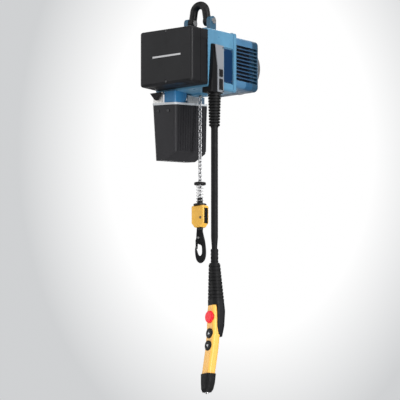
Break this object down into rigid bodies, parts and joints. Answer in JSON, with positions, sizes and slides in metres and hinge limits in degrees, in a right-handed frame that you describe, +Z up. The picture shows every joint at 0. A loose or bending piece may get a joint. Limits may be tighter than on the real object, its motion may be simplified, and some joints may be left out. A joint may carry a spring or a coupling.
{
  "type": "electric chain hoist",
  "caption": "Electric chain hoist with a pinned suspension loop, finned motor, chain bucket, swivelling hook block with safety latch, and a hanging push-button pendant.",
  "frame": {"origin": "inside top of the suspension bracket, where it hangs on a hook", "axes": "+Z up, -Y out of the electrical cover's face, +Y towards the motor, +X towards the control cable"},
  "size_m": [0.2639, 0.412, 1.3339],
  "materials": {
    "black_plastic": "fine moulded grain",
    "black_rubber": "matt",
    "blue_paint": "satin paint on cast aluminium",
    "dark_blue_paint": "satin paint",
    "grey_plastic": "matt",
    "black_steel": "black forged finish",
    "bright_steel": "zinc plated",
    "aluminium": "machined",
    "board": "lacquered",
    "black_gloss": "gloss",
    "yellow_plastic": "satin",
    "red_plastic": "satin"
  },
  "bodies": {
    "suspension": {"suspension_bracket": "black_steel"},
    "rotor": {"motor_rotor": "bright_steel", "fan_wheel": "black_plastic"},
    "intermediate_shaft": {"intermediate_gear": "bright_steel"},
    "chain_wheel": {"output_gear": "bright_steel", "pocket_wheel": "bright_steel"},
    "hook_block": {"load_chain": "bright_steel", "chain_anchor_cone": "black_steel", "block_collar": "black_steel", "block_shell_front": "yellow_plastic", "block_shell_rear": "yellow_plastic", "block_side_panels": "black_plastic", "block_screws": "bright_steel", "thrust_bearing": "bright_steel", "buffer_spring": "bright_steel"},
    "buffer_plate": {"stop_plate": "black_steel"},
    "hook": {"load_hook": "black_steel", "hook_nut": "bright_steel", "latch_pin": "bright_steel"},
    "latch": {"hook_latch": "bright_steel"},
    "stop_control": {"stop_button": "red_plastic"},
    "up_control": {"up_button": "black_plastic"},
    "down_control": {"down_button": "black_plastic"},
    "hoist_body": {"bracket_plates": "bright_steel", "bucket_hanger_front": "blue_paint", "bucket_hanger_rear": "blue_paint", "bucket_rim": "grey_plastic", "button_collars": "black_plastic", "cable_boot": "black_rubber", "chain_bucket": "black_plastic", "chain_guide": "blue_paint", "chain_over_wheel": "bright_steel", "connection_box": "black_plastic", "contact_blocks": "black_plastic", "control_board": "board", "control_cable": "black_rubber", "control_transformer": "bright_steel", "cover_gasket": "black_rubber", "cover_screws": "bright_steel", "electrical_cover": "black_plastic", "electrics_plate": "bright_steel", "fan_cowl": "grey_plastic", "gearbox_bulkhead": "aluminium", "gearbox_housing": "blue_paint", "motor_end_cap": "dark_blue_paint", "motor_housing": "blue_paint", "motor_stator": "bright_steel", "pendant_body": "yellow_plastic", "pendant_end_cap": "black_rubber", "pendant_rear_shell": "black_plastic", "pendant_sleeve": "black_rubber", "pendant_tip": "bright_steel", "plug_connectors": "black_gloss", "service_panel": "grey_plastic", "shaft_bearings": "bright_steel", "side_cover_plate": "dark_blue_paint", "stored_chain": "bright_steel", "supply_gland": "black_plastic", "suspension_pins": "bright_steel", "wedge_bracket": "black_plastic"}
  },
  "joints": [
    {"name": "suspension_swing", "type": "hinge", "parent": "suspension", "child": "hoist_body", "pos_m": [0, 0, -0.045], "axis": [1, 0, 0], "range_deg": [-20, 20]},
    {"name": "hook_lift", "type": "slide", "parent": "hoist_body", "child": "hook_block", "axis": [0, 0, 1], "range_m": [0, 0.18], "deforming": ["load_chain", "chain_over_wheel"]},
    {"name": "chain_wheel_spin", "type": "hinge", "parent": "hoist_body", "child": "chain_wheel", "pos_m": [-0.01986, 0, -0.215], "axis": [0, 1, 0], "range_deg": [-540, 10]},
    {"name": "intermediate_spin", "type": "hinge", "parent": "hoist_body", "child": "intermediate_shaft", "pos_m": [-0.04888, 0, -0.15684], "axis": [0, 1, 0], "range_deg": [-40, 2160]},
    {"name": "motor_spin", "type": "hinge", "parent": "hoist_body", "child": "rotor", "pos_m": [0, 0, -0.176], "axis": [0, 1, 0], "range_deg": [-8640, 160]},
    {"name": "buffer_travel", "type": "slide", "parent": "hook_block", "child": "buffer_plate", "axis": [0, 0, -1], "range_m": [0, 0.025], "stiffness_N_per_m": 900, "springref_m": -0.002, "deforming": ["buffer_spring"]},
    {"name": "hook_swivel", "type": "hinge", "parent": "hook_block", "child": "hook", "pos_m": [0, 0, -0.734], "axis": [0, 0, 1], "continuous": true},
    {"name": "latch_pivot", "type": "hinge", "parent": "hook", "child": "latch", "pos_m": [-0.00473, -0.00369, -0.77], "axis": [-0.6157, 0.788, 0], "range_deg": [-22, 0], "stiffness_Nm_per_rad": 0.15, "springref_deg": 28.65},
    {"name": "stop_press", "type": "slide", "parent": "hoist_body", "child": "stop_control", "axis": [0.2756, 0.9613, 0], "range_m": [0, 0.004], "stiffness_N_per_m": 900, "springref_m": -0.002},
    {"name": "up_press", "type": "slide", "parent": "hoist_body", "child": "up_control", "axis": [0.2756, 0.9613, 0], "range_m": [0, 0.003], "stiffness_N_per_m": 700, "springref_m": -0.002},
    {"name": "down_press", "type": "slide", "parent": "hoist_body", "child": "down_control", "axis": [0.2756, 0.9613, 0], "range_m": [0, 0.003], "stiffness_N_per_m": 700, "springref_m": -0.002}
  ],
  "couplings": [
    {"joint": "chain_wheel_spin", "follows": "hook_lift", "rad_per_m": -51.502},
    {"joint": "intermediate_spin", "follows": "hook_lift", "rad_per_m": 206.01},
    {"joint": "motor_spin", "follows": "hook_lift", "rad_per_m": -824.02}
  ]
}
